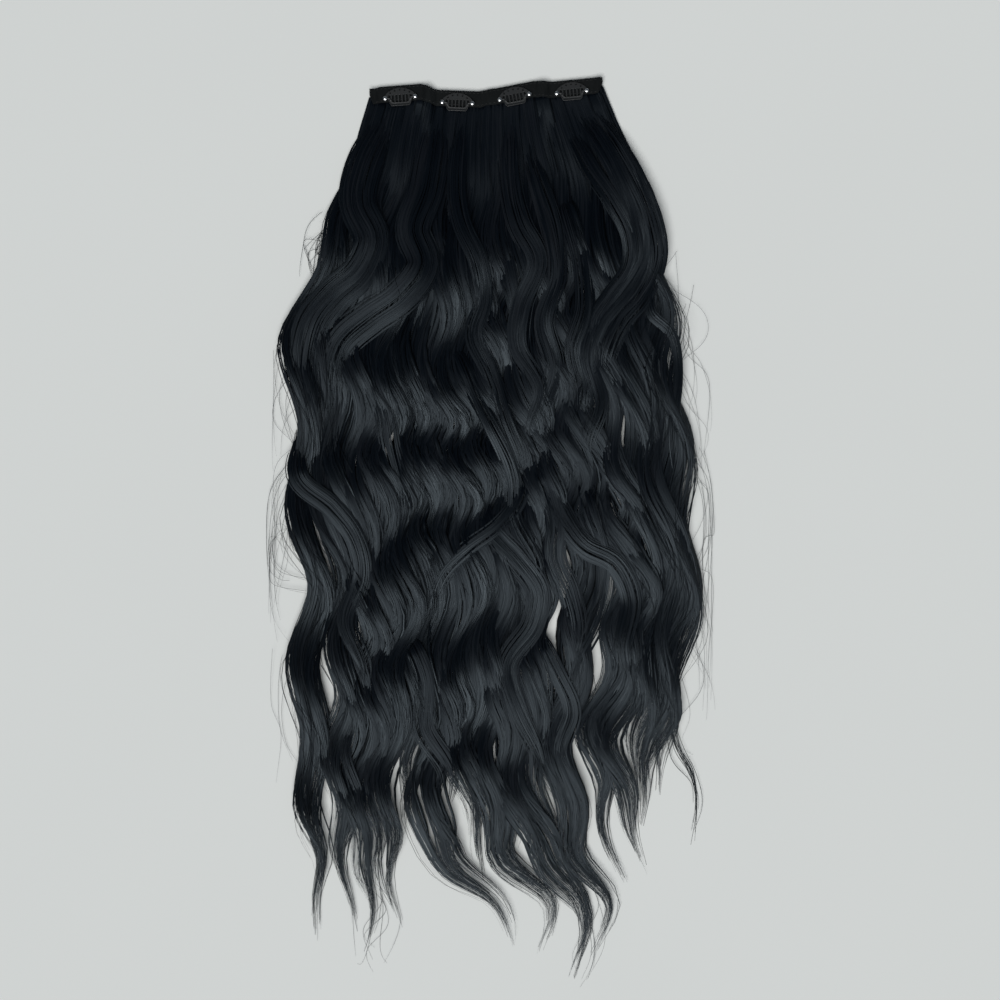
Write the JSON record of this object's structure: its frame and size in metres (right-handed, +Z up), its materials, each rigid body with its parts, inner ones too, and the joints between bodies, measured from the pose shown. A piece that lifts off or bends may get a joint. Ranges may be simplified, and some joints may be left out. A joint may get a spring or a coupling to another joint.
{
  "type": "clip in hair extension",
  "caption": "Long wavy clip-in hair weft: dark hair in loose waves, sewn to a ribbon that carries snap clips, lying spread out flat.",
  "frame": {"origin": "on the surface that the piece lies on, under the middle of the weft's sewn head", "axes": "+X along the weft, +Y from the hair's tips to the weft, +Z up from the surface, the side with the clips"},
  "size_m": [0.3413, 0.7413, 0.0145],
  "materials": {
    "hair": "near-black glossy hair fibre",
    "ribbon": "black woven ribbon with sewing rows",
    "clip_metal": "satin black coated spring steel",
    "rivet_steel": "bright domed rivet"
  },
  "bodies": {
    "weft": {"hair": "hair", "weft_tape": "ribbon", "clip_1_comb": "clip_metal", "clip_1_rivet_left": "rivet_steel", "clip_1_rivet_right": "rivet_steel", "clip_2_comb": "clip_metal", "clip_2_rivet_left": "rivet_steel", "clip_2_rivet_right": "rivet_steel", "clip_3_comb": "clip_metal", "clip_3_rivet_left": "rivet_steel", "clip_3_rivet_right": "rivet_steel", "clip_4_comb": "clip_metal", "clip_4_rivet_left": "rivet_steel", "clip_4_rivet_right": "rivet_steel"},
    "bow_1": {"clip_1_bow": "clip_metal"},
    "bow_2": {"clip_2_bow": "clip_metal"},
    "bow_3": {"clip_3_bow": "clip_metal"},
    "bow_4": {"clip_4_bow": "clip_metal"}
  },
  "joints": [
    {"name": "clip_1_snap", "type": "hinge", "parent": "weft", "child": "bow_1", "pos_m": [-0.0701, -0.00205, 0.0065], "axis": [-0.9971, -0.0767, 0], "range_deg": [0, 38]},
    {"name": "clip_2_snap", "type": "hinge", "parent": "weft", "child": "bow_2", "pos_m": [-0.02337, -0.00634, 0.0065], "axis": [-0.9992, 0.0401, 0], "range_deg": [0, 38]},
    {"name": "clip_3_snap", "type": "hinge", "parent": "weft", "child": "bow_3", "pos_m": [0.02337, -0.00153, 0.0065], "axis": [-0.9816, -0.1908, 0], "range_deg": [0, 38]},
    {"name": "clip_4_snap", "type": "hinge", "parent": "weft", "child": "bow_4", "pos_m": [0.0701, 0.0025, 0.0065], "axis": [-0.9954, -0.0958, 0], "range_deg": [0, 38]}
  ]
}
